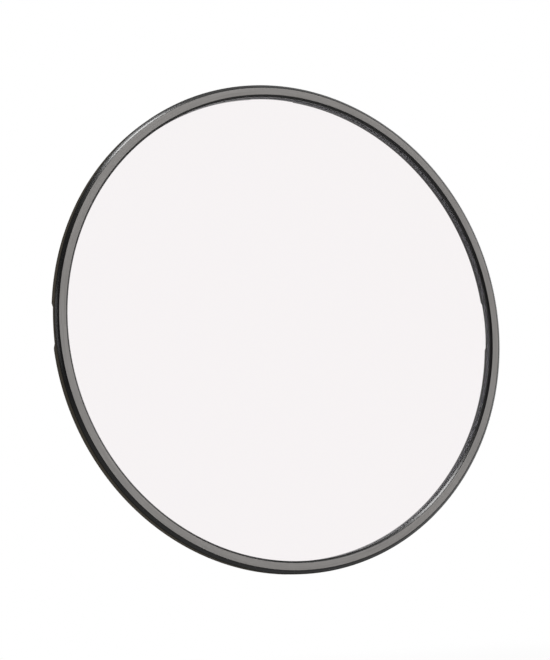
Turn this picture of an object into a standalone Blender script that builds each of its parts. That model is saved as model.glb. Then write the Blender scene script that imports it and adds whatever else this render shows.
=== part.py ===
"""Clear lens protection filter: flat glass in a slim turned ring that clings by rear magnets.

Metres, +Z up. The optical axis runs along Y and the front face looks to -Y. The origin is on that
axis, in the plane of the rear face. Nail notches are at 3, 6, 9 and 12 o'clock.
"""

import math

import bmesh
import bpy
from mathutils import Matrix, Vector

MM = 0.001

# Overall size: the opening that light passes. The ring grows from it and from what it holds.
APERTURE_RADIUS = 40.80 * MM

# Front lip, the two chamfers of the front face, the steeper shoulder that runs from the outer one
# down to the wall, and the lead-in chamfer at the rear.
INNER_CHAMFER_WIDTH = 0.34 * MM
INNER_CHAMFER_DEPTH = 0.36 * MM
OUTER_CHAMFER_WIDTH = 0.25 * MM
OUTER_CHAMFER_DEPTH = 0.20 * MM
SHOULDER_WIDTH = 0.43 * MM
SHOULDER_DEPTH = 0.41 * MM
LIP_WALL = 0.33 * MM
LEAD_IN_WIDTH = 0.39 * MM
LEAD_IN_DEPTH = 0.68 * MM

# Stack behind the lip, front to rear.
CUSHION_THICKNESS = 0.10 * MM
CUSHION_SETBACK = 0.06 * MM
GLASS_THICKNESS = 1.00 * MM
GLASS_OVERLAP = 0.60 * MM
GLASS_EDGE_BREAK = 0.10 * MM
RETAINER_THICKNESS = 0.79 * MM
RETAINER_RECESS = 0.02 * MM
RETAINER_EDGE_BREAK = 0.05 * MM

# Clearances.
SEAT_GAP = 0.02 * MM
GLASS_EDGE_GAP = 0.10 * MM
THREAD_GAP = 0.04 * MM
MAGNET_GAP = 0.02 * MM

# Nail notches in the rear edge. The floor slopes, deepest at the outer wall, and the ends flare.
# The web is what a notch leaves of the retainer's bore, and the rim what it leaves of the outer wall.
NOTCH_WIDTH = 8.9 * MM
NOTCH_WEB = 0.40 * MM
NOTCH_RIM = 0.59 * MM
NOTCH_END_ANGLE = math.radians(45)

# Block magnets in the rear face, spread evenly between the notches.
QUARTERS = 4
MAGNETS_PER_QUARTER = 5
MAGNET_LENGTH = 3.6 * MM
MAGNET_WIDTH = 0.75 * MM
MAGNET_HEIGHT = 1.00 * MM
MAGNET_RECESS = 0.04 * MM
MAGNET_EDGE_BREAK = 0.08 * MM
POCKET_WALL = 0.185 * MM

# Facets round a full turn, the angle that stays a sharp edge, and how far a cutter overshoots.
TURN_STEPS = 120
SHARP_ANGLE = math.radians(25)
OVERSHOOT = 1.0 * MM

# Heights above the rear face, each from the piece before it.
RETAINER_FRONT = RETAINER_RECESS + RETAINER_THICKNESS
GLASS_REAR = RETAINER_FRONT + SEAT_GAP
GLASS_FRONT = GLASS_REAR + GLASS_THICKNESS
CUSHION_REAR = GLASS_FRONT + SEAT_GAP
CUSHION_FRONT = CUSHION_REAR + CUSHION_THICKNESS
LIP_REAR = CUSHION_FRONT + SEAT_GAP
CHAMFER_FOOT = LIP_REAR + LIP_WALL
FRAME_DEPTH = CHAMFER_FOOT + INNER_CHAMFER_DEPTH
SHOULDER_TOP = FRAME_DEPTH - OUTER_CHAMFER_DEPTH
WALL_TOP = SHOULDER_TOP - SHOULDER_DEPTH
NOTCH_INNER_FLOOR = RETAINER_FRONT - NOTCH_WEB
NOTCH_OUTER_FLOOR = WALL_TOP - NOTCH_RIM

# Radii, each from the piece inside it.
GLASS_RADIUS = APERTURE_RADIUS + GLASS_OVERLAP
SEAT_RADIUS = GLASS_RADIUS + GLASS_EDGE_GAP
RETAINER_RADIUS = SEAT_RADIUS - THREAD_GAP
MAGNET_RADIUS = SEAT_RADIUS + POCKET_WALL + MAGNET_GAP + MAGNET_WIDTH / 2
REAR_FACE_RADIUS = MAGNET_RADIUS + MAGNET_WIDTH / 2 + MAGNET_GAP + POCKET_WALL
OUTER_RADIUS = REAR_FACE_RADIUS + LEAD_IN_WIDTH
SHOULDER_RADIUS = OUTER_RADIUS - SHOULDER_WIDTH


def make_material(name, color, roughness, metallic, transmission=0.0):
    """Principled finish of one piece."""
    material = bpy.data.materials.new(name)
    material.use_nodes = True
    shader = material.node_tree.nodes["Principled BSDF"]
    shader.inputs["Base Color"].default_value = (*color, 1.0)
    shader.inputs["Roughness"].default_value = roughness
    shader.inputs["Metallic"].default_value = metallic
    shader.inputs["Transmission Weight"].default_value = transmission
    return material


def add_object(name, mesh_builder, axis_frame, material=None):
    """Object from a bmesh, shaded smooth on its round faces, carried by the optical axis frame."""
    mesh = bpy.data.meshes.new(name)
    bmesh.ops.recalc_face_normals(mesh_builder, faces=mesh_builder.faces)
    mesh_builder.to_mesh(mesh)
    mesh_builder.free()
    mesh.shade_smooth()
    mesh.set_sharp_from_angle(angle=SHARP_ANGLE)
    if material:
        mesh.materials.append(material)
    piece = bpy.data.objects.new(name, mesh)
    bpy.context.scene.collection.objects.link(piece)
    piece.parent = axis_frame
    return piece


def turn_ring(section):
    """Ring turned about the optical axis from a closed section of (radius, height) points."""
    builder = bmesh.new()
    corners = [builder.verts.new((radius, 0, height)) for radius, height in section]
    edges = [builder.edges.new((corners[i - 1], corners[i])) for i in range(len(corners))]
    bmesh.ops.spin(
        builder,
        geom=corners + edges,
        cent=(0, 0, 0),
        axis=(0, 0, 1),
        angle=math.tau,
        steps=TURN_STEPS,
        use_merge=True,
    )
    return builder


def turn_disc(section):
    """Solid disc: the outer edge of the section is turned and its two rims are filled flat."""
    builder = bmesh.new()
    rings = []
    for radius, height in section:
        ring = []
        for step in range(TURN_STEPS):
            turn = math.tau * step / TURN_STEPS
            place = (radius * math.cos(turn), radius * math.sin(turn), height)
            ring.append(builder.verts.new(place))
        rings.append(ring)
    for front, rear in zip(rings, rings[1:]):
        for step in range(TURN_STEPS):
            builder.faces.new((front[step - 1], rear[step - 1], rear[step], front[step]))
    builder.faces.new(rings[0])
    builder.faces.new(rings[-1])
    return builder


def add_block(builder, size, place):
    """Rectangular block of the given size, with its centre moved by the placing matrix."""
    made = bmesh.ops.create_cube(builder, size=1.0)
    scaled = place @ Matrix.Diagonal((*size, 1.0))
    bmesh.ops.transform(builder, matrix=scaled, verts=made["verts"])


def cut(piece, cutter):
    """Boolean difference that stays live on the piece."""
    modifier = piece.modifiers.new(cutter.name, "BOOLEAN")
    modifier.operation = "DIFFERENCE"
    modifier.solver = "EXACT"
    modifier.object = cutter


def as_cutter(cutter):
    cutter.hide_render = True
    cutter.display_type = "WIRE"
    return cutter


def make_frame_ring(axis_frame):
    """Turned ring: front face between two chamfers, lip over the glass, threaded seat behind it."""
    section = (
        (SHOULDER_RADIUS - OUTER_CHAMFER_WIDTH, FRAME_DEPTH),
        (SHOULDER_RADIUS, SHOULDER_TOP),
        (OUTER_RADIUS, WALL_TOP),
        (OUTER_RADIUS, LEAD_IN_DEPTH),
        (REAR_FACE_RADIUS, 0.0),
        (SEAT_RADIUS, 0.0),
        (SEAT_RADIUS, LIP_REAR),
        (APERTURE_RADIUS, LIP_REAR),
        (APERTURE_RADIUS, CHAMFER_FOOT),
        (APERTURE_RADIUS + INNER_CHAMFER_WIDTH, FRAME_DEPTH),
    )
    finish = make_material("dark_anodise", (0.11, 0.107, 0.105), 0.42, 0.7)
    return add_object("frame_ring", turn_ring(section), axis_frame, finish)


def make_retaining_ring(axis_frame):
    """Thin ring screwed in from the rear against the glass, its rear inner edge broken."""
    section = (
        (RETAINER_RADIUS, RETAINER_FRONT),
        (RETAINER_RADIUS, RETAINER_RECESS),
        (APERTURE_RADIUS + RETAINER_EDGE_BREAK, RETAINER_RECESS),
        (APERTURE_RADIUS, RETAINER_RECESS + RETAINER_EDGE_BREAK),
        (APERTURE_RADIUS, RETAINER_FRONT),
    )
    finish = make_material("black_anodise", (0.022, 0.022, 0.024), 0.5, 0.6)
    return add_object("retaining_ring", turn_ring(section), axis_frame, finish)


def make_glass_disc(axis_frame):
    """Flat clear glass with ground edge breaks."""
    section = (
        (GLASS_RADIUS - GLASS_EDGE_BREAK, GLASS_FRONT),
        (GLASS_RADIUS, GLASS_FRONT - GLASS_EDGE_BREAK),
        (GLASS_RADIUS, GLASS_REAR + GLASS_EDGE_BREAK),
        (GLASS_RADIUS - GLASS_EDGE_BREAK, GLASS_REAR),
    )
    finish = make_material("coated_glass", (0.97, 0.955, 0.965), 0.02, 0.0, 1.0)
    return add_object("glass_disc", turn_disc(section), axis_frame, finish)


def make_glass_cushion(axis_frame):
    """Thin flat ring that keeps the metal lip off the glass."""
    section = (
        (GLASS_RADIUS, CUSHION_FRONT),
        (GLASS_RADIUS, CUSHION_REAR),
        (APERTURE_RADIUS + CUSHION_SETBACK, CUSHION_REAR),
        (APERTURE_RADIUS + CUSHION_SETBACK, CUSHION_FRONT),
    )
    finish = make_material("black_film", (0.015, 0.015, 0.016), 0.7, 0.0)
    return add_object("glass_cushion", turn_ring(section), axis_frame, finish)


def quarter_turns():
    """Angles of the nail notches round the axis."""
    return [quarter * math.tau / QUARTERS for quarter in range(QUARTERS)]


def magnet_turns():
    """Angles of the magnets round the axis, between the nail notches."""
    pitch = math.tau / QUARTERS / (MAGNETS_PER_QUARTER + 1)
    places = range(1, MAGNETS_PER_QUARTER + 1)
    return [turn + place * pitch for turn in quarter_turns() for place in places]


def magnet_place(turn, height):
    """Matrix at a magnet's middle: X points outward and Y along the ring."""
    outward = Matrix.Translation((MAGNET_RADIUS, 0, height))
    return Matrix.Rotation(turn, 4, "Z") @ outward


def make_magnets(axis_frame):
    """Plated block magnets, each sunk a little below the rear face."""
    finish = make_material("nickel_plate", (0.60, 0.59, 0.57), 0.28, 1.0)
    for number, turn in enumerate(magnet_turns(), start=1):
        builder = bmesh.new()
        size = (MAGNET_WIDTH, MAGNET_LENGTH, MAGNET_HEIGHT)
        add_block(builder, size, Matrix.Identity(4))
        bmesh.ops.bevel(
            builder,
            geom=builder.edges[:],
            offset=MAGNET_EDGE_BREAK,
            segments=1,
            affect="EDGES",
        )
        magnet = add_object(f"magnet_{number:02d}", builder, axis_frame, finish)
        magnet.matrix_local = magnet_place(turn, MAGNET_RECESS + MAGNET_HEIGHT / 2)


def make_pocket_cutter(axis_frame):
    """Blind pockets for all the magnets, open at the rear face."""
    depth = MAGNET_RECESS + MAGNET_HEIGHT + MAGNET_GAP + OVERSHOOT
    size = (MAGNET_WIDTH + 2 * MAGNET_GAP, MAGNET_LENGTH + 2 * MAGNET_GAP, depth)
    builder = bmesh.new()
    for turn in magnet_turns():
        add_block(builder, size, magnet_place(turn, depth / 2 - OVERSHOOT))
    return as_cutter(add_object("magnet_pocket_cutter", builder, axis_frame))


def notch_floor(radius):
    """Height of the notch floor above the rear face at this radius."""
    slope = (NOTCH_OUTER_FLOOR - NOTCH_INNER_FLOOR) / (OUTER_RADIUS - APERTURE_RADIUS)
    return NOTCH_INNER_FLOOR + slope * (radius - APERTURE_RADIUS)


def notch_half_width(height):
    """Half the width of the notch at this height above the rear face."""
    return NOTCH_WIDTH / 2 - height / math.tan(NOTCH_END_ANGLE)


def make_notch_cutter(axis_frame):
    """Nail notches: a flared slot at each quarter, cut from the rear through retainer and frame."""
    builder = bmesh.new()
    for turn in quarter_turns():
        corners = []
        for radius in (APERTURE_RADIUS - OVERSHOOT, OUTER_RADIUS + OVERSHOOT):
            for height in (-OVERSHOOT, notch_floor(radius)):
                for side in (-1, 1):
                    corners.append(Vector((radius, side * notch_half_width(height), height)))
        placed = [builder.verts.new(Matrix.Rotation(turn, 3, "Z") @ corner) for corner in corners]
        bmesh.ops.convex_hull(builder, input=placed)
    return as_cutter(add_object("nail_notch_cutter", builder, axis_frame))


def build():
    for old in list(bpy.data.objects):
        bpy.data.objects.remove(old, do_unlink=True)
    axis_frame = bpy.data.objects.new("optical_axis", None)
    axis_frame.rotation_euler = (math.radians(90), 0, 0)
    bpy.context.scene.collection.objects.link(axis_frame)

    frame_ring = make_frame_ring(axis_frame)
    retaining_ring = make_retaining_ring(axis_frame)
    make_glass_disc(axis_frame)
    make_glass_cushion(axis_frame)
    make_magnets(axis_frame)

    notch_cutter = make_notch_cutter(axis_frame)
    cut(frame_ring, make_pocket_cutter(axis_frame))
    cut(frame_ring, notch_cutter)
    cut(retaining_ring, notch_cutter)


build()
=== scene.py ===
"""Studio picture of a clear lens protection filter: flat coated glass in a slim turned ring.

Metres, +Z up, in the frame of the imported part: the optical axis runs along Y, the front face looks
to -Y and the rear face lies in the plane Y = 0. Heights are measured forward from that plane.
"""

import math

import bmesh
import bpy
from mathutils import Matrix, Vector


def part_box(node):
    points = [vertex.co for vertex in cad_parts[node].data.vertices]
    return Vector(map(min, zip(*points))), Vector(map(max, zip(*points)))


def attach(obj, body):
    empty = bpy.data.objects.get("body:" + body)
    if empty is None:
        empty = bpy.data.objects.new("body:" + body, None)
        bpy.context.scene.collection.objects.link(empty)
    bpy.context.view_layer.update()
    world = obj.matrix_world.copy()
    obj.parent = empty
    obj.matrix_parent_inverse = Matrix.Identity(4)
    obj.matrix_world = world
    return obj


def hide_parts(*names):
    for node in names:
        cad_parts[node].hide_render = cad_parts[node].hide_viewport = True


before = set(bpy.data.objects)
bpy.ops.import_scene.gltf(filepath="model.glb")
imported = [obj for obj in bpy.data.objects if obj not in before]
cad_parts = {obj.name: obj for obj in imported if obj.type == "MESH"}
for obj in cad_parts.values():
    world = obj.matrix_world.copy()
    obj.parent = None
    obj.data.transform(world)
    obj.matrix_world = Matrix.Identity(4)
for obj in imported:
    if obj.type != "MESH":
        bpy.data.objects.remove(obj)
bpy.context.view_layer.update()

# Frame ring: turned from aluminium and anodised near black, with a grey satin front face between
# two glossy chamfers. Its front lip holds the glass, the seat behind it takes the retaining ring, and
# the rear face has blind pockets for the magnets and four sloping nail notches.
MM = 0.001
OUTER_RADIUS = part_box("frame_ring")[1].x
FRAME_DEPTH = -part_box("frame_ring")[0].y
APERTURE_RADIUS = 40.80 * MM
FACE_INNER_RADIUS = APERTURE_RADIUS + 0.34 * MM
SHOULDER_RADIUS = OUTER_RADIUS - 0.43 * MM
FACE_OUTER_RADIUS = SHOULDER_RADIUS - 0.25 * MM
CHAMFER_FOOT = FRAME_DEPTH - 0.36 * MM
SHOULDER_TOP = FRAME_DEPTH - 0.20 * MM
WALL_TOP = SHOULDER_TOP - 0.41 * MM
LEAD_IN_DEPTH = 0.68 * MM
REAR_FACE_RADIUS = OUTER_RADIUS - 0.39 * MM
SEAT_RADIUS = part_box("glass_disc")[1].x + 0.10 * MM
LIP_REAR = CHAMFER_FOOT - 0.33 * MM
EDGE_ROUNDING = 0.035 * MM
FACE_ROUNDING = 0.09 * MM
SHOULDER_ROUNDING = 0.14 * MM
ROUNDING_STEPS = 4
NOTCH_REACH = math.radians(7.0)
NOTCH_STEPS = 112
PLAIN_STEPS = 76
QUARTERS = 4
QUARTER = math.tau / QUARTERS
NOTCH_WIDTH = 8.9 * MM
NOTCH_INNER_FLOOR = 0.41 * MM
NOTCH_OUTER_FLOOR = WALL_TOP - 0.59 * MM
NOTCH_SLOPE = (NOTCH_OUTER_FLOOR - NOTCH_INNER_FLOOR) / (OUTER_RADIUS - APERTURE_RADIUS)
SMOOTH_ANGLE = math.radians(30)


def rounded(corners, usual_reach=EDGE_ROUNDING):
    """Closed outline through the corners, each softened by a curve of the usual reach or its own."""
    outline = []
    for before, corner, after in zip(corners[-1:] + corners[:-1], corners, corners[1:] + corners[:1]):
        reach = corner[2] if len(corner) > 2 else usual_reach
        corner = Vector(corner[:2])
        start = corner + (Vector(before[:2]) - corner).normalized() * reach
        end = corner + (Vector(after[:2]) - corner).normalized() * reach
        for step in range(ROUNDING_STEPS + 1):
            share = step / ROUNDING_STEPS
            outline.append(start.lerp(corner, share).lerp(corner.lerp(end, share), share))
    return outline


def turning_angles():
    """Angles round the ring: close together across each nail notch, wider apart between them."""
    angles = []
    for quarter in range(QUARTERS):
        start = quarter * QUARTER - NOTCH_REACH
        angles += [start + 2 * NOTCH_REACH * step / NOTCH_STEPS for step in range(NOTCH_STEPS)]
        start += 2 * NOTCH_REACH
        plain = QUARTER - 2 * NOTCH_REACH
        angles += [start + plain * step / PLAIN_STEPS for step in range(PLAIN_STEPS)]
    return angles


def notch_height(radius, turn):
    """How far above the rear face a nail notch reaches here, below zero outside the notches."""
    off = (turn + QUARTER / 2) % QUARTER - QUARTER / 2
    floor = NOTCH_INNER_FLOOR + NOTCH_SLOPE * (radius * math.cos(off) - APERTURE_RADIUS)
    flank = NOTCH_WIDTH / 2 - radius * abs(math.sin(off))
    return min(floor, flank)


def above_notch(radius, height, turn):
    return radius, max(height, notch_height(radius, turn))


def as_turned(radius, height, turn):
    return radius, height


def as_object(name, builder):
    """Object from a finished bmesh, with the edges between unlike faces kept sharp."""
    bmesh.ops.recalc_face_normals(builder, faces=builder.faces)
    mesh = bpy.data.meshes.new(name)
    builder.to_mesh(mesh)
    builder.free()
    mesh.set_sharp_from_angle(angle=SMOOTH_ANGLE)
    piece = bpy.data.objects.new(name, mesh)
    bpy.context.scene.collection.objects.link(piece)
    return piece


def turned(name, outline, reshape=as_turned, closed=True):
    """Object turned about the optical axis. An open outline gets its two ends filled flat."""
    builder = bmesh.new()
    rings = []
    for turn in turning_angles():
        ring = []
        for point in outline:
            radius, height = reshape(*point, turn)
            ring.append(builder.verts.new((radius * math.cos(turn), -height, radius * math.sin(turn))))
        rings.append(ring)
    first = 0 if closed else 1
    for left, right in zip(rings[-1:] + rings[:-1], rings):
        for i in range(first, len(outline)):
            builder.faces.new((left[i - 1], left[i], right[i], right[i - 1])).smooth = True
    if not closed:
        for end in (0, -1):
            builder.faces.new([ring[end] for ring in rings]).smooth = False
    return as_object(name, builder)


frame_piece = turned("frame_ring_turned", rounded([
    (FACE_OUTER_RADIUS, FRAME_DEPTH, FACE_ROUNDING),
    (SHOULDER_RADIUS, SHOULDER_TOP),
    (OUTER_RADIUS, WALL_TOP, SHOULDER_ROUNDING),
    (OUTER_RADIUS, LEAD_IN_DEPTH),
    (REAR_FACE_RADIUS, 0.0),
    (SEAT_RADIUS, 0.0),
    (SEAT_RADIUS, LIP_REAR),
    (APERTURE_RADIUS, LIP_REAR),
    (APERTURE_RADIUS, CHAMFER_FOOT),
    (FACE_INNER_RADIUS, FRAME_DEPTH, FACE_ROUNDING),
]), above_notch)

# The magnet pockets are cut last, as they are in the workshop.
MAGNET_SIZE = Vector((0.75, 3.6, 1.00)) * MM
MAGNET_RADIUS = (SEAT_RADIUS + REAR_FACE_RADIUS) / 2
MAGNET_RECESS = 0.04 * MM
MAGNET_ROUNDING = 0.08 * MM
POCKET_GAP = 0.02 * MM
POCKET_OVERSHOOT = 0.5 * MM
MAGNETS_PER_QUARTER = 5
magnet_turns = [
    quarter * QUARTER + place * QUARTER / (MAGNETS_PER_QUARTER + 1)
    for quarter in range(QUARTERS)
    for place in range(1, MAGNETS_PER_QUARTER + 1)
]


def add_block(builder, size, turn, height, rounding):
    """Block at the magnets' radius: its first size runs outward, its second along the ring."""
    made = bmesh.ops.create_cube(builder, size=1.0)
    block = made["verts"]
    bmesh.ops.scale(builder, vec=size, verts=block)
    if rounding:
        edges = list({edge for corner in block for edge in corner.link_edges})
        softened = bmesh.ops.bevel(
            builder, geom=edges, offset=rounding, segments=3, profile=0.5, affect="EDGES",
        )
        block = softened["verts"]
    forward = Matrix.Rotation(math.pi / 2, 4, "X")
    place = forward @ Matrix.Rotation(turn, 4, "Z") @ Matrix.Translation((MAGNET_RADIUS, 0, height))
    bmesh.ops.transform(builder, matrix=place, verts=block)


def cut_away(piece, cutter):
    """Takes the cutter's shape out of the piece for good."""
    cut = piece.modifiers.new("cut", "BOOLEAN")
    cut.solver = "EXACT"
    cut.object = cutter
    graph = bpy.context.evaluated_depsgraph_get()
    carved = bpy.data.meshes.new_from_object(piece.evaluated_get(graph))
    piece.modifiers.clear()
    piece.data = carved
    piece.data.set_sharp_from_angle(angle=SMOOTH_ANGLE)
    bpy.data.objects.remove(cutter)


pocket_builder = bmesh.new()
pocket_depth = MAGNET_RECESS + MAGNET_SIZE.z + POCKET_GAP + POCKET_OVERSHOOT
pocket_size = (MAGNET_SIZE.x + 2 * POCKET_GAP, MAGNET_SIZE.y + 2 * POCKET_GAP, pocket_depth)
for turn in magnet_turns:
    add_block(pocket_builder, pocket_size, turn, pocket_depth / 2 - POCKET_OVERSHOOT, 0.0)
cut_away(frame_piece, as_object("magnet_pockets", pocket_builder))


class Wire:
    """A socket in a node tree, so that shader maths can be written as arithmetic."""

    def __init__(self, tree, socket=None):
        self.tree = tree
        self.socket = socket

    def feed(self, node, inputs):
        """Sets or links a node's sockets, named or numbered."""
        for name, value in inputs.items():
            if isinstance(value, Wire):
                self.tree.links.new(value.socket, node.inputs[name])
            else:
                node.inputs[name].default_value = value

    def node(self, kind, settings=None, inputs=None, output=0):
        """Adds a node: its settings first, then the values or links of its sockets."""
        made = self.tree.nodes.new(kind)
        for name, value in (settings or {}).items():
            setattr(made, name, value)
        self.feed(made, inputs or {})
        return Wire(self.tree, made.outputs[output])

    def maths(self, operation, first, second=0.0):
        return self.node("ShaderNodeMath", {"operation": operation}, {0: first, 1: second})

    def __add__(self, other):
        return self.maths("ADD", self, other)

    def __rsub__(self, other):
        return self.maths("SUBTRACT", other, self)

    def __mul__(self, other):
        return self.maths("MULTIPLY", self, other)

    def ramp(self, low, high, start=0.0, end=1.0):
        """Eases from start to end as this value goes from low to high."""
        limits = {"From Min": low, "From Max": high, "To Min": start, "To Max": end, "Value": self}
        return self.node("ShaderNodeMapRange", {"interpolation_type": "SMOOTHSTEP"}, limits)

    def noise(self, scale, detail=2.0):
        """Soft random values from 0 to 1 over this place."""
        return self.node("ShaderNodeTexNoise", None, {"Vector": self, "Scale": scale, "Detail": detail})

    def colour(self, low, high):
        """Colour that goes from low to high as this value goes from 0 to 1."""
        ends = {0: self, 6: low, 7: high}
        return self.node("ShaderNodeMix", {"data_type": "RGBA"}, ends, output=2)

    def vector(self, operation, other=(0.0, 0.0, 0.0), output=0):
        pair = {0: self, 1: other}
        return self.node("ShaderNodeVectorMath", {"operation": operation}, pair, output)

    def part(self, axis):
        """One part of this vector: X, Y or Z."""
        return self.node("ShaderNodeSeparateXYZ", None, {0: self}, axis)


def new_finish(name):
    """Material with its shader, and the place on the piece where its node tree starts."""
    material = bpy.data.materials.new(name)
    material.use_nodes = True
    tree = Wire(material.node_tree)
    place = tree.node("ShaderNodeTexCoord", output="Object")
    return material, material.node_tree.nodes["Principled BSDF"], place


def radius_of(place):
    """Distance of a place from the optical axis."""
    return place.vector("MULTIPLY", (1.0, 0.0, 1.0)).vector("LENGTH", output="Value")


def height_of(place):
    """Height of a place forward of the rear face."""
    return place.part("Y") * -1.0


def turning_marks(place, pitch, drift):
    """Fine rings that the lathe leaves, each of them changing slowly round the piece."""
    angle = place.maths("ARCTAN2", place.part("Z"), place.part("X"))
    across = {
        0: radius_of(place) * (1 / pitch),
        1: angle * drift,
        2: height_of(place) * (1 / pitch),
    }
    return place.node("ShaderNodeCombineXYZ", None, across).noise(1.0)


FACE_DARK = (0.215, 0.206, 0.199, 1.0)
FACE_LIGHT = (0.274, 0.264, 0.256, 1.0)
ANODISE_DARK = (0.0022, 0.0022, 0.0024, 1.0)
ANODISE_LIGHT = (0.0045, 0.0044, 0.0044, 1.0)
# Outer wall: its own matte dark tone plus a painted reflection of warm surroundings, which makes it
# brown and lighter than the other anodise.
WALL_AND_REFLECTION_DARK = (0.032, 0.027, 0.020, 1.0)
WALL_AND_REFLECTION_LIGHT = (0.053, 0.046, 0.035, 1.0)
# Rear faces: black anodise lightened by a painted sheen, standing in for the satin gleam that the low
# specular level leaves out.
REAR_PAINTED_SHEEN_DARK = (0.014, 0.014, 0.015, 1.0)
REAR_PAINTED_SHEEN_LIGHT = (0.028, 0.028, 0.029, 1.0)
GLOSS_FOOT = FRAME_DEPTH - 0.6 * (FRAME_DEPTH - WALL_TOP)
FACE_FADE_FROM = FRAME_DEPTH - 0.016 * MM
FACE_FADE_TO = FRAME_DEPTH - 0.004 * MM
BORE_FADE_FROM = APERTURE_RADIUS + 0.01 * MM
BORE_FADE_TO = APERTURE_RADIUS + 0.03 * MM
WALL_FADE = 0.10 * MM
REAR_FADE_FROM = 0.02 * MM
REAR_FADE_TO = 0.06 * MM

finish, shader, place = new_finish("frame_anodise")
radius = radius_of(place)
height = height_of(place)
rings = turning_marks(place, 0.09 * MM, 6.0)
grain = place.noise(1 / (0.07 * MM), 3.0)
blotches = place.noise(1 / (9.0 * MM))
on_face = height.ramp(FACE_FADE_FROM, FACE_FADE_TO)
face_tone = (rings * 0.6 + grain * 0.25 + blotches * 0.15).ramp(0.3, 0.7)
wall_tone = (rings * 0.5 + grain * 0.5).ramp(0.3, 0.7)
on_chamfer = height.ramp(WALL_TOP, GLOSS_FOOT) * (1 - on_face)
on_bore = radius.ramp(BORE_FADE_FROM, BORE_FADE_TO, 1.0, 0.0)
on_wall = radius.ramp(OUTER_RADIUS - WALL_FADE, OUTER_RADIUS)
on_rear = height.ramp(REAR_FADE_FROM, REAR_FADE_TO, 1.0, 0.0)
# The outer wall gets the brown colour with the painted reflection in it.
side_colour = on_wall.colour(
    wall_tone.colour(ANODISE_DARK, ANODISE_LIGHT), wall_tone.colour(WALL_AND_REFLECTION_DARK, WALL_AND_REFLECTION_LIGHT),
)
# Painted sheen on the rear face.
wall_colour = on_rear.colour(side_colour, wall_tone.colour(REAR_PAINTED_SHEEN_DARK, REAR_PAINTED_SHEEN_LIGHT))
bump = place.node("ShaderNodeBump", None, {
    "Strength": 0.35,
    "Distance": 0.004 * MM,
    "Height": (rings * 0.7 + grain * 0.3) * (1 - on_chamfer),
})
place.feed(shader, {
    "Base Color": on_face.colour(wall_colour, face_tone.colour(FACE_DARK, FACE_LIGHT)),
    "Roughness": (grain * 0.12 + rings * 0.08 + on_wall * 0.35 + 0.40) * (1 - on_bore * 0.75),
    "Metallic": on_face * 0.15,
    "Specular IOR Level": 0.06,
    "Coat Weight": on_chamfer * (1 - on_bore) + on_bore * 0.3,
    "Coat Roughness": 0.27,
    "Normal": bump,
})
frame_piece.data.materials.append(finish)
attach(frame_piece, "root")
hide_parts("frame_ring")

# Cushion: a thin ring of black film between the lip and the glass, so that no metal presses on it.
# It is stamped flat from sheet and shows only as a fine dark line.
cushion_low, cushion_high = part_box("glass_cushion")
CUSHION_BORE = APERTURE_RADIUS + 0.06 * MM
CUSHION_ROUNDING = 0.02 * MM
FILM_DARK = (0.010, 0.010, 0.011, 1.0)
FILM_LIGHT = (0.022, 0.022, 0.023, 1.0)
cushion = turned("glass_cushion_film", rounded([
    (cushion_high.x, -cushion_low.y),
    (cushion_high.x, -cushion_high.y),
    (CUSHION_BORE, -cushion_high.y),
    (CUSHION_BORE, -cushion_low.y),
], CUSHION_ROUNDING))
finish, shader, place = new_finish("cushion_film")
grain = place.noise(1 / (0.05 * MM))
place.feed(shader, {
    "Base Color": grain.colour(FILM_DARK, FILM_LIGHT),
    "Roughness": grain * 0.2 + 0.55,
})
cushion.data.materials.append(finish)
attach(cushion, "root")
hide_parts("glass_cushion")

# Glass: one polished disc of clear optical glass with ground edge breaks, coated on both faces
# against reflections. The coating leaves a very faint rose tint in the light that passes.
glass_low, glass_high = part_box("glass_disc")
GLASS_RADIUS = glass_high.x
GLASS_REAR = -glass_high.y
GLASS_FRONT = -glass_low.y
EDGE_BREAK = 0.10 * MM
GLASS_TINT = (0.935, 0.905, 0.913, 1.0)
COATING_GLEAM = (0.16, 0.14, 0.20, 1.0)
glass = turned("glass_disc_polished", [
    (GLASS_RADIUS - EDGE_BREAK, GLASS_FRONT),
    (GLASS_RADIUS, GLASS_FRONT - EDGE_BREAK),
    (GLASS_RADIUS, GLASS_REAR + EDGE_BREAK),
    (GLASS_RADIUS - EDGE_BREAK, GLASS_REAR),
], closed=False)
finish, shader, place = new_finish("clear_glass")
ground_edge = radius_of(place).ramp(GLASS_RADIUS - EDGE_BREAK, GLASS_RADIUS - EDGE_BREAK / 2)
place.feed(shader, {
    "Base Color": GLASS_TINT,
    "Roughness": ground_edge * 0.35,
    "IOR": 1.52,
    "Transmission Weight": 1.0,
    "Specular Tint": COATING_GLEAM,
})
glass.data.materials.append(finish)
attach(glass, "root")
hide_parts("glass_disc")

# Retaining ring: a thin turned aluminium ring in smooth black anodise, screwed in from the rear by its
# fine outside thread until it holds the glass against the cushion. Its paler front face is painted
# light: it brightens the band seen through the glass inside the lip. The nail notches run across it.
retainer_low, retainer_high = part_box("retaining_ring")
RETAINER_RADIUS = retainer_high.x
RETAINER_REAR = -retainer_high.y
RETAINER_FRONT = -retainer_low.y
THREAD_PITCH = 0.35 * MM
THREAD_DEPTH = 0.12 * MM
THREAD_STEPS = 18
THREAD_REACH = EDGE_ROUNDING / 10
SEAT_FADE_FROM = RETAINER_FRONT - 0.03 * MM
SEAT_FADE_TO = RETAINER_FRONT - 0.012 * MM
BLACK_DARK = (0.0065, 0.0065, 0.007, 1.0)
BLACK_LIGHT = (0.014, 0.014, 0.015, 1.0)
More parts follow.
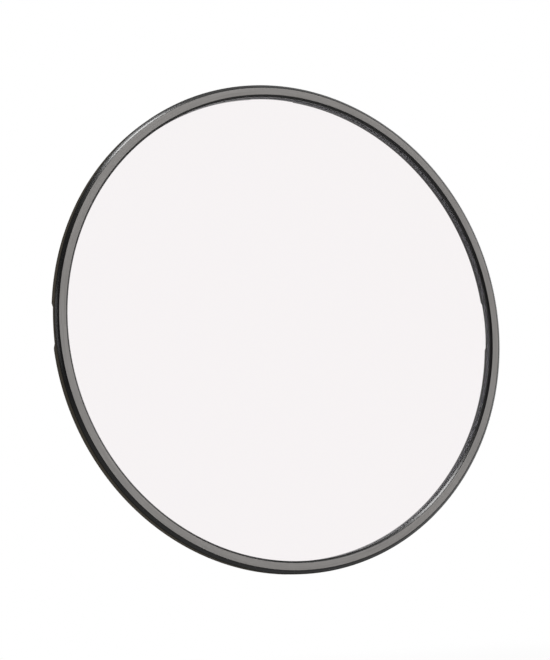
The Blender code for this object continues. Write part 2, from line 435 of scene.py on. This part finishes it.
# Painted light: the front face is pale blue-grey, so that the shaded band seen through the glass inside
# the lip looks as light as the sheen there.
SEAT_FACE_PAINTED_LIGHT = (0.31, 0.325, 0.345, 1.0)
thread_foot = RETAINER_REAR + EDGE_ROUNDING
thread_length = RETAINER_FRONT - RETAINER_REAR - 2 * EDGE_ROUNDING
thread = [
    (RETAINER_RADIUS, thread_foot + thread_length * step / THREAD_STEPS)
    for step in range(1, THREAD_STEPS)
]


def screw_cut(radius, height, turn):
    """Cuts the thread into the outside of the ring, then the nail notches into its rear."""
    wave = 0.5 - 0.5 * math.cos(math.tau * (height / THREAD_PITCH) - turn)
    on_thread = radius > RETAINER_RADIUS - THREAD_REACH
    if on_thread and thread_foot < height < RETAINER_FRONT - EDGE_ROUNDING:
        radius -= THREAD_DEPTH * wave
    return above_notch(radius, height, turn)


retainer = turned("retaining_ring_turned", rounded([
    (RETAINER_RADIUS, RETAINER_FRONT),
    (APERTURE_RADIUS, RETAINER_FRONT),
    (APERTURE_RADIUS, RETAINER_REAR),
    (RETAINER_RADIUS, RETAINER_REAR),
]) + [Vector(point) for point in thread], screw_cut)
finish, shader, place = new_finish("retainer_anodise")
height = height_of(place)
on_seat = height.ramp(SEAT_FADE_FROM, SEAT_FADE_TO)
rings = turning_marks(place, 0.08 * MM, 5.0)
grain = place.noise(1 / (0.06 * MM), 3.0)
bump = place.node("ShaderNodeBump", None, {
    "Strength": 0.04, "Distance": 0.003 * MM, "Height": rings * 0.6 + grain * 0.4,
})
tone = (rings * 0.5 + grain * 0.5).ramp(0.3, 0.7)
# The rear face gets the same painted sheen as the frame's rear face.
on_rear = height.ramp(RETAINER_REAR + REAR_FADE_FROM, RETAINER_REAR + REAR_FADE_TO, 1.0, 0.0)
bore_colour = on_rear.colour(
    tone.colour(BLACK_DARK, BLACK_LIGHT), tone.colour(REAR_PAINTED_SHEEN_DARK, REAR_PAINTED_SHEEN_LIGHT),
)
place.feed(shader, {
    "Base Color": on_seat.colour(bore_colour, SEAT_FACE_PAINTED_LIGHT),
    "Roughness": grain * 0.04 + rings * 0.04 + 0.13,
    "Specular IOR Level": 0.35,
    "Normal": bump,
})
retainer.data.materials.append(finish)
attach(retainer, "root")
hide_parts("retaining_ring")

# Magnets: twenty nickel-plated blocks bonded into their pockets, five between each two notches,
# each a little below the rear face. They hold the filter to the adapter on the lens.
NICKEL_DARK = (0.50, 0.48, 0.44, 1.0)
NICKEL_LIGHT = (0.66, 0.64, 0.60, 1.0)
finish, shader, place = new_finish("magnet_plating")
cloud = place.noise(1 / (0.9 * MM), 4.0)
grain = place.noise(1 / (0.05 * MM))
place.feed(shader, {
    "Base Color": cloud.colour(NICKEL_DARK, NICKEL_LIGHT),
    "Metallic": 1.0,
    "Roughness": cloud * 0.15 + grain * 0.1 + 0.16,
    "Normal": place.node("ShaderNodeBump", None, {
        "Strength": 0.25, "Distance": 0.004 * MM, "Height": grain,
    }),
})
for number, turn in enumerate(magnet_turns, start=1):
    builder = bmesh.new()
    add_block(builder, MAGNET_SIZE, turn, MAGNET_RECESS + MAGNET_SIZE.z / 2, MAGNET_ROUNDING)
    for face in builder.faces:
        face.smooth = True
    magnet = as_object(f"magnet_block_{number:02d}", builder)
    magnet.data.materials.append(finish)
    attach(magnet, "root")
    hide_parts(f"magnet_{number:02d}")

# Floor: a plain white studio floor below the filter, which its mount holds up in the air. It reads
# white to the camera, to metal and to glass, and close to the filter it keeps the soft shadow.
FLOOR_DROP = 32 * MM
FLOOR_SIZE = 6.0
FLOOR_COLOUR = (0.86, 0.86, 0.86, 1.0)
WHITE = (1.0, 1.0, 1.0, 1.0)
ROOM_FRONT = (0.03, 0.03, 0.03, 1.0)
FRONT_DIM = -0.35
FRONT_WHITE = 0.75
SHADOW_NEAR = 0.12
SHADOW_FAR = 0.40
SHADOW_SHARE = 0.35
builder = bmesh.new()
bmesh.ops.create_grid(builder, x_segments=1, y_segments=1, size=FLOOR_SIZE)
floor = as_object("studio_floor", builder)
floor.location.z = -OUTER_RADIUS - FLOOR_DROP
material = bpy.data.materials.new("studio_floor")
material.use_nodes = True
tree = Wire(material.node_tree)


def seen_as_white(tree):
    """1 for rays that the camera, metal or glass sees by, and 0 for rays that carry light."""
    seen = [
        tree.node("ShaderNodeLightPath", output=f"Is {kind} Ray")
        for kind in ("Camera", "Glossy", "Transmission")
    ]
    return tree.maths("MINIMUM", seen[0] + seen[1] + seen[2], 1.0)


def dimmed_front(tree, direction):
    """White for what is seen, but dim where a glossy surface looks towards the camera's side."""
    front = direction.part("Y").ramp(FRONT_DIM, FRONT_WHITE, 1.0, 0.0)
    glossy = tree.node("ShaderNodeLightPath", output="Is Glossy Ray")
    through_glass = tree.node("ShaderNodeLightPath", output="Is Transmission Ray")
    return (front * glossy * (1 - through_glass)).colour(WHITE, ROOM_FRONT)


place = tree.node("ShaderNodeTexCoord", output="Object")
from_filter = place.vector("ADD", (0.0, 0.0, floor.location.z)).vector("NORMALIZE")
away = place.vector("LENGTH", output="Value").ramp(SHADOW_NEAR, SHADOW_FAR, 1 - SHADOW_SHARE, 1.0)
lit = tree.node("ShaderNodeBsdfDiffuse", None, {"Color": FLOOR_COLOUR})
white = tree.node("ShaderNodeEmission", None, {"Color": dimmed_front(tree, from_filter)})
mixed = tree.node("ShaderNodeMixShader", None, {0: seen_as_white(tree) * away, 1: lit, 2: white})
tree.feed(material.node_tree.nodes["Material Output"], {"Surface": mixed})
floor.data.materials.append(material)

# Studio light: an even pale room, a large soft box at the front right, a smaller one above that draws
# the highlights along the chamfers, and a narrow one at the left for the outer wall. Glossy surfaces
# see the room white at the sides and behind, and dim towards the front, where the camera stands.
ROOM_LIGHT = (0.55, 0.55, 0.55, 1.0)
world = bpy.data.worlds.new("studio_room")
bpy.context.scene.world = world
world.use_nodes = True
tree = Wire(world.node_tree)
direction = tree.node("ShaderNodeTexCoord", output="Generated")
room = seen_as_white(tree).colour(ROOM_LIGHT, dimmed_front(tree, direction))
tree.feed(world.node_tree.nodes["Background"], {"Color": room})


def soft_box(name, direction, distance, size, watts, roll=0.0):
    """Lamp that faces the filter and isn't seen itself, though metal may mirror it."""
    lamp = bpy.data.lights.new(name, "AREA")
    lamp.shape = "RECTANGLE"
    lamp.size, lamp.size_y = size
    lamp.energy = watts
    holder = bpy.data.objects.new(name, lamp)
    bpy.context.scene.collection.objects.link(holder)
    towards = Vector(direction).normalized()
    holder.location = towards * distance
    facing = towards.to_track_quat("Z", "Y").to_matrix()
    facing = facing @ Matrix.Rotation(math.radians(roll), 3, "Z")
    holder.rotation_euler = facing.to_euler()
    holder.visible_camera = False
    holder.visible_transmission = False


soft_box("front_box", (0.30, -0.55, 0.78), 0.9, (0.5, 0.5), 2.5)
soft_box("top_box", (-0.245, -0.266, 0.932), 0.6, (0.20, 0.17), 2.15, roll=55.4)
soft_box("side_box", (-0.96, -0.24, 0.15), 0.9, (0.09, 0.30), 0.44)

# Camera: a long lens close to the filter, a little left of its axis and below its middle, turned
# slightly. The ring's middle lies a little right of and above the middle of the picture.
PICTURE_LONG_SIDE = 660
FOCAL_PIXELS = 1725.0
RANGE = 300 * MM
AZIMUTH = math.radians(-26.14)
ELEVATION = math.radians(-7.835)
ROLL = math.radians(-3.83)
OFFSET_RIGHT = 2.95 * MM
OFFSET_UP = 0.97 * MM
lens = bpy.data.cameras.new("camera")
lens.sensor_width = 36.0
lens.lens = lens.sensor_width * FOCAL_PIXELS / PICTURE_LONG_SIDE
lens.clip_start = 0.01
camera = bpy.data.objects.new("camera", lens)
bpy.context.scene.collection.objects.link(camera)
aim = Matrix.Rotation(AZIMUTH, 3, "Z") @ Matrix.Rotation(math.pi / 2 - ELEVATION, 3, "X")
aim = aim @ Matrix.Rotation(ROLL, 3, "Z")
camera.rotation_euler = aim.to_euler()
ring_middle = Vector((0.0, -FRAME_DEPTH, 0.0))
camera.location = ring_middle + aim @ Vector((-OFFSET_RIGHT, -OFFSET_UP, RANGE))
bpy.context.scene.camera = camera
bpy.context.scene.view_settings.view_transform = "Standard"
